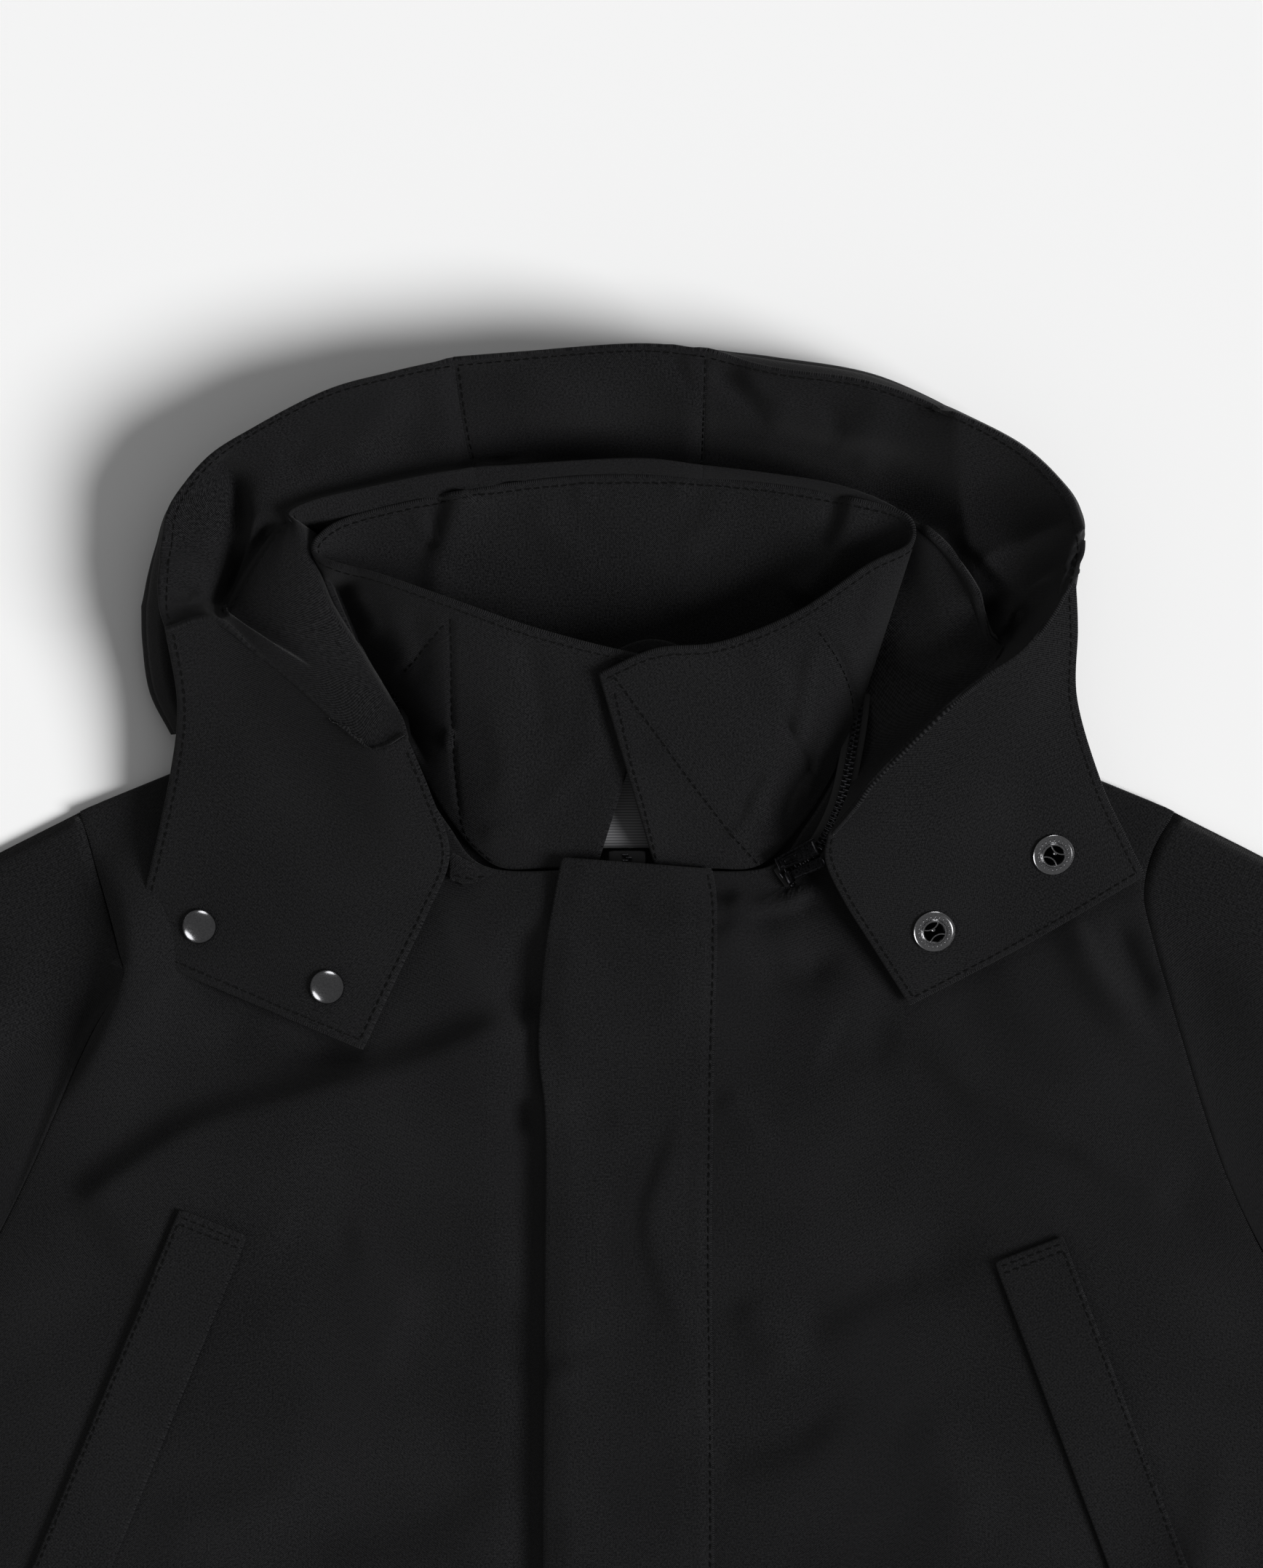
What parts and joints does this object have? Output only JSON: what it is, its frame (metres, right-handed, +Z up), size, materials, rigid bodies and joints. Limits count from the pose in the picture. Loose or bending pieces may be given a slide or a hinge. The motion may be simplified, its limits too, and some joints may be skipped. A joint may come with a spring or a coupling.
{
  "type": "parka",
  "caption": "Hooded parka laid flat on its back, with the hood opened out round the stand collar and its chin tabs turned out.",
  "frame": {"origin": "on the surface under the back, midway between the hem and the top of the hood", "axes": "+X towards the wearer's left sleeve, +Y from the hem towards the hood, +Z up from the surface the coat lies on"},
  "size_m": [1.108, 0.9566, 0.055],
  "materials": {
    "cloth": "black plain-weave shell cloth with a slight sheen",
    "zip_tape": "black woven zip tape with dark teeth",
    "ribbon": "bare grey satin ribbon",
    "snap_metal": "dark nickel, satin",
    "zip_metal": "dark nickel, satin"
  },
  "bodies": {
    "coat": {"back": "cloth", "front_right": "cloth", "front_left": "cloth", "front_zip": "zip_tape", "front_flap": "cloth", "pocket_welt_right": "cloth", "pocket_welt_left": "cloth", "sleeve_right": "cloth", "sleeve_left": "cloth", "collar": "cloth", "hood_side_right": "cloth", "hood_centre": "cloth", "hood_side_left": "cloth", "hood_heap": "cloth", "chin_tab_right": "cloth", "chin_tab_left": "cloth", "hood_zip": "zip_tape", "zip_guard": "cloth", "neck_ribbon": "ribbon", "snap_cap_outer": "snap_metal", "snap_cap_inner": "snap_metal", "snap_socket_outer": "snap_metal", "snap_socket_inner": "snap_metal", "hanger_loop": "cloth", "zip_slider": "zip_metal"},
    "pull": {"zip_pull": "zip_metal"}
  },
  "joints": [
    {"name": "zip_pull_hinge", "type": "hinge", "parent": "coat", "child": "pull", "pos_m": [0.06966, 0.25011, 0.0152], "axis": [0.4226, -0.9063, 0], "range_deg": [0, 150]}
  ]
}
